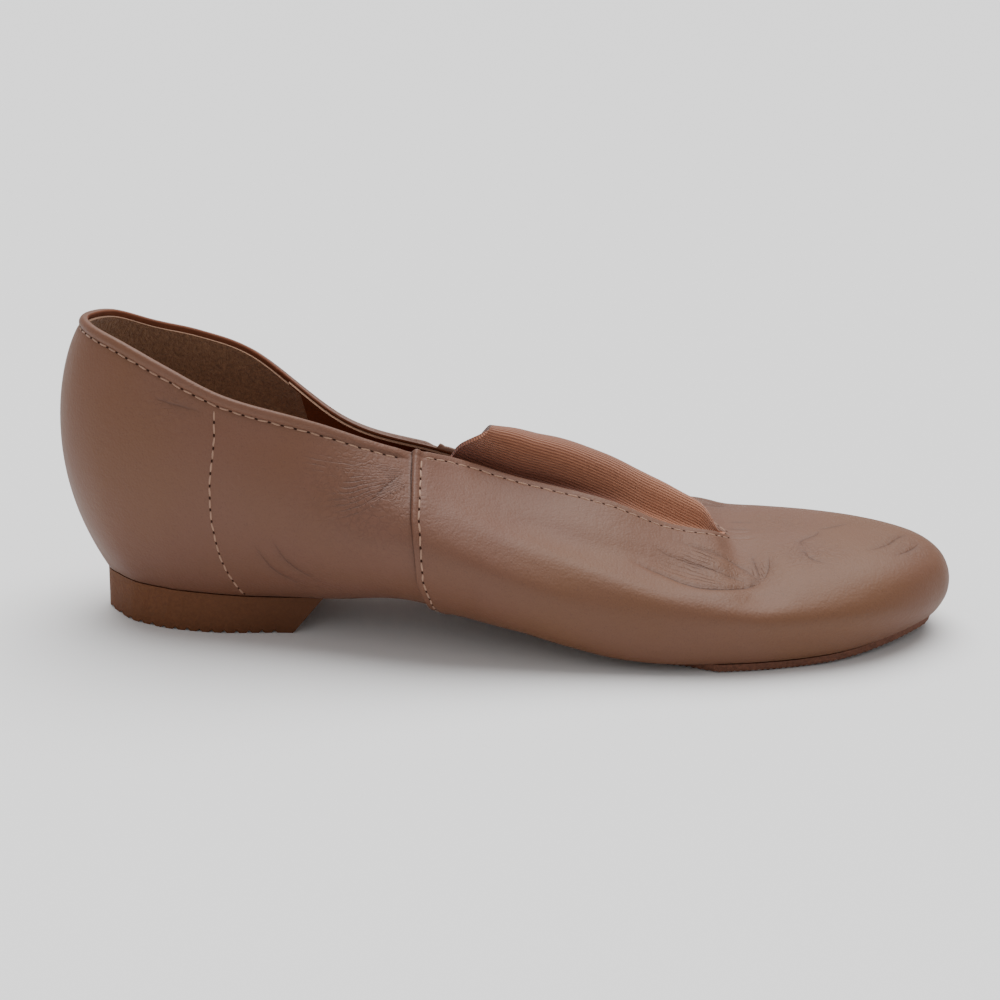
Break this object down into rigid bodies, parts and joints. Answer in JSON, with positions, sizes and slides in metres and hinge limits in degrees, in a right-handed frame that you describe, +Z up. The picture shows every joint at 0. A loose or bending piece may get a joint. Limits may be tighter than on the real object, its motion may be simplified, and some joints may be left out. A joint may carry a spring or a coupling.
{
  "type": "jazz dance shoe",
  "caption": "Right slip-on jazz shoe: soft leather upper with an elastic gusset standing in its throat, a low rubber heel block and a separate forefoot sole.",
  "frame": {"origin": "on the floor, in the middle of the shoe's plan", "axes": "+X towards the toe, +Y towards the inner side of the foot, +Z up"},
  "size_m": [0.2404, 0.0861, 0.0809],
  "materials": {
    "leather": "satin",
    "elastic": "matte",
    "lining": "matte",
    "forefoot_sole": "matte",
    "heel_block": "matte"
  },
  "bodies": {
    "root": {"upper": "leather", "gusset": "elastic", "insole": "lining", "sole_patch": "forefoot_sole", "heel": "heel_block"}
  },
  "joints": []
}
